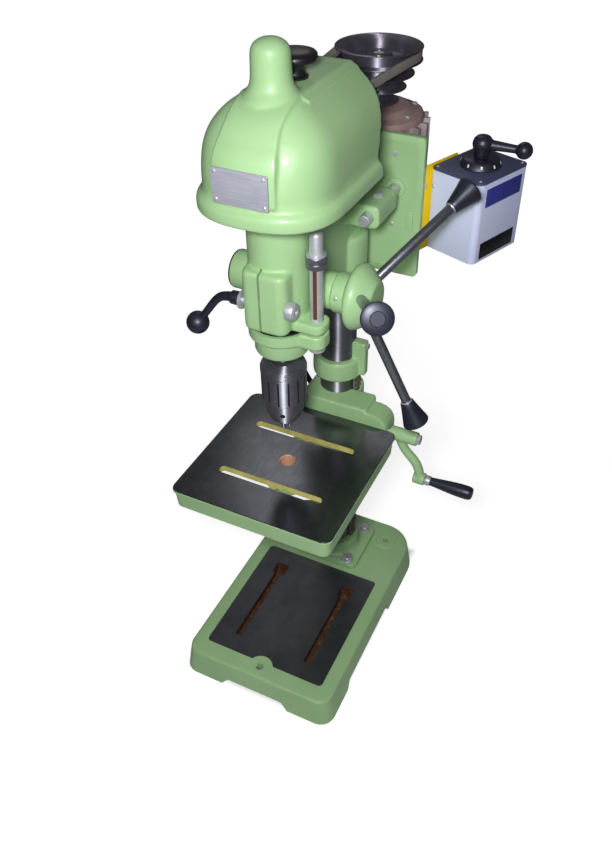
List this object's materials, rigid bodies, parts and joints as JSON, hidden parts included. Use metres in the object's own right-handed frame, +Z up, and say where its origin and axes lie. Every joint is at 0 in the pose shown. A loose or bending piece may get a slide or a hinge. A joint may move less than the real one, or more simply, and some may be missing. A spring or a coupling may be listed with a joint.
{
  "type": "pillar drill",
  "caption": "Belt-driven bench pillar drill with slotted base, rack-raised table, lever-fed quill, keyed chuck, open-backed pulley hood, rear motor and switch box.",
  "frame": {"origin": "middle of the bounding box, on the floor plane under the base", "axes": "+Z up the column, -Y towards the operator, +X to the side with the feed arms and the table crank"},
  "size_m": [0.386, 0.5218, 0.992],
  "materials": {
    "paint": "gloss light green enamel over casting",
    "bright_steel": "bright turned steel",
    "column_steel": "ground and polished",
    "chuck_steel": "hardened and ground, oiled",
    "dark_steel": "oiled dark steel",
    "ground_iron": "ground top, painted edge",
    "black_plastic": "gloss black moulding",
    "black_steel": "black finished steel",
    "belt_rubber": "dusty grey brown fabric wrapped rubber",
    "motor_paint": "brown casting",
    "plate_metal": "bare brushed sheet",
    "box_paint": "satin lavender blue",
    "yellow_paint": "bright yellow sheet"
  },
  "bodies": {
    "frame": {"base": "paint", "column_flange": "paint", "flange_bolt_1": "bright_steel", "flange_bolt_2": "bright_steel", "flange_bolt_3": "bright_steel", "flange_bolt_4": "bright_steel", "column": "column_steel", "column_collar": "paint", "collar_screw": "bright_steel", "head_casting": "paint", "upper_bearing": "bright_steel", "return_spring": "bright_steel", "spring_cap": "black_steel", "drive_belt": "belt_rubber"},
    "rack": {"table_rack": "dark_steel"},
    "table": {"table_bracket": "paint", "table": "ground_iron", "table_bolt": "bright_steel"},
    "lift_gear": {"lift_gear": "bright_steel"},
    "crank": {"crank_shaft": "bright_steel", "crank_arm": "paint"},
    "crank_grip": {"crank_grip": "black_plastic"},
    "table_clamp": {"table_clamp_lever": "dark_steel"},
    "quill": {"quill": "bright_steel", "quill_collar": "paint", "quill_end_ring": "paint", "lower_bearing": "bright_steel", "depth_rod": "bright_steel"},
    "spindle": {"spindle": "bright_steel", "chuck_body": "chuck_steel"},
    "chuck_sleeve": {"chuck_sleeve": "chuck_steel"},
    "jaw_1": {"chuck_jaw_1": "chuck_steel"},
    "jaw_2": {"chuck_jaw_2": "chuck_steel"},
    "jaw_3": {"chuck_jaw_3": "chuck_steel"},
    "depth_nuts": {"depth_nut_lower": "dark_steel", "depth_nut_upper": "dark_steel"},
    "quill_lock": {"quill_lock_screw": "bright_steel", "quill_lock_lever": "black_steel"},
    "feed": {"feed_hub": "paint", "feed_arm_1": "dark_steel", "feed_arm_2": "dark_steel", "feed_arm_3": "dark_steel", "feed_knob_1": "black_plastic", "feed_knob_2": "black_plastic", "feed_knob_3": "black_plastic", "pinion_shaft": "bright_steel"},
    "spindle_pulley": {"spindle_pulley": "dark_steel"},
    "motor_base": {"motor_plate": "paint", "motor_bar_1": "bright_steel", "motor_bar_2": "bright_steel", "motor_casing": "motor_paint", "switch_bracket": "yellow_paint", "switch_box": "box_paint", "switch_dial": "black_plastic"},
    "motor_rotor": {"motor_pulley": "dark_steel", "motor_shaft": "bright_steel"},
    "hood": {"hood": "paint", "blank_plate": "plate_metal"},
    "cover_knob": {"cover_knob": "black_plastic"},
    "switch_lever": {"switch_lever": "black_plastic"}
  },
  "joints": [
    {"name": "table_swing", "type": "hinge", "parent": "frame", "child": "rack", "pos_m": [-0.056, 0.07007, 0.4], "axis": [0, 0, 1], "range_deg": [-150, 150]},
    {"name": "table_lift", "type": "slide", "parent": "rack", "child": "table", "axis": [0, 0, 1], "range_m": [-0.235, 0.024]},
    {"name": "lift_gear_turn", "type": "hinge", "parent": "table", "child": "lift_gear", "pos_m": [-0.009, 0.07007, 0.363], "axis": [0, 1, 0], "range_deg": [-120, 1130]},
    {"name": "crank_turn", "type": "hinge", "parent": "table", "child": "crank", "pos_m": [0.064, 0.03107, 0.394], "axis": [1, 0, 0], "range_deg": [-8980, 920]},
    {"name": "crank_grip_spin", "type": "hinge", "parent": "crank", "child": "crank_grip", "pos_m": [0.144, 0.03107, 0.316], "axis": [1, 0, 0], "continuous": true},
    {"name": "table_clamp_turn", "type": "hinge", "parent": "table", "child": "table_clamp", "pos_m": [-0.106, 0.08407, 0.392], "axis": [1, 0, 0], "range_deg": [-50, 30]},
    {"name": "quill_slide", "type": "slide", "parent": "frame", "child": "quill", "axis": [0, 0, 1], "range_m": [-0.054, 0], "stiffness_N_per_m": 1600, "springref_m": 0.09},
    {"name": "spindle_turn", "type": "hinge", "parent": "quill", "child": "spindle", "pos_m": [-0.056, -0.10993, 0.6], "axis": [0, 0, 1], "continuous": true},
    {"name": "chuck_sleeve_turn", "type": "hinge", "parent": "spindle", "child": "chuck_sleeve", "pos_m": [-0.056, -0.10993, 0.55], "axis": [0, 0, 1], "range_deg": [0, 2300]},
    {"name": "jaw_1_slide", "type": "slide", "parent": "spindle", "child": "jaw_1", "axis": [0.1504, 0.0868, 0.9848], "range_m": [0, 0.016]},
    {"name": "jaw_2_slide", "type": "slide", "parent": "spindle", "child": "jaw_2", "axis": [-0.1504, 0.0868, 0.9848], "range_m": [0, 0.016]},
    {"name": "jaw_3_slide", "type": "slide", "parent": "spindle", "child": "jaw_3", "axis": [0, -0.1736, 0.9848], "range_m": [0, 0.016]},
    {"name": "depth_stop_slide", "type": "slide", "parent": "quill", "child": "depth_nuts", "axis": [0, 0, 1], "range_m": [-0.015, 0.012]},
    {"name": "quill_lock_turn", "type": "hinge", "parent": "frame", "child": "quill_lock", "pos_m": [-0.056, -0.14893, 0.697], "axis": [1, 0, 0], "range_deg": [-40, 25]},
    {"name": "feed_turn", "type": "hinge", "parent": "frame", "child": "feed", "pos_m": [0.024, -0.06993, 0.688], "axis": [1, 0, 0], "range_deg": [0, 258.5]},
    {"name": "spindle_pulley_turn", "type": "hinge", "parent": "frame", "child": "spindle_pulley", "pos_m": [-0.056, -0.10993, 0.87], "axis": [0, 0, 1], "continuous": true},
    {"name": "motor_slide", "type": "slide", "parent": "frame", "child": "motor_base", "axis": [0, 1, 0], "range_m": [-0.01, 0], "deforming": ["drive_belt"]},
    {"name": "motor_turn", "type": "hinge", "parent": "motor_base", "child": "motor_rotor", "pos_m": [-0.056, 0.19307, 0.87], "axis": [0, 0, 1], "continuous": true},
    {"name": "hood_lift", "type": "slide", "parent": "frame", "child": "hood", "axis": [0, 0, 1], "range_m": [0, 0.2]},
    {"name": "cover_knob_turn", "type": "hinge", "parent": "hood", "child": "cover_knob", "pos_m": [-0.056, -0.05793, 0.95], "axis": [0, 0, 1], "continuous": true},
    {"name": "switch_turn", "type": "hinge", "parent": "motor_base", "child": "switch_lever", "pos_m": [0.102, 0.18636, 0.79], "axis": [0, 0, 1], "range_deg": [-60, 60]}
  ],
  "couplings": [
    {"joint": "lift_gear_turn", "follows": "table_lift", "rad_per_m": -83.333},
    {"joint": "crank_turn", "follows": "table_lift", "rad_per_m": 666.67},
    {"joint": "feed_turn", "follows": "quill_slide", "rad_per_m": -83.333},
    {"joint": "spindle_pulley_turn", "follows": "spindle_turn", "ratio": 1},
    {"joint": "motor_turn", "follows": "spindle_turn", "ratio": 0.4485},
    {"joint": "jaw_1_slide", "follows": "chuck_sleeve_turn", "m_per_rad": 0.000398},
    {"joint": "jaw_2_slide", "follows": "chuck_sleeve_turn", "m_per_rad": 0.000398},
    {"joint": "jaw_3_slide", "follows": "chuck_sleeve_turn", "m_per_rad": 0.000398}
  ]
}
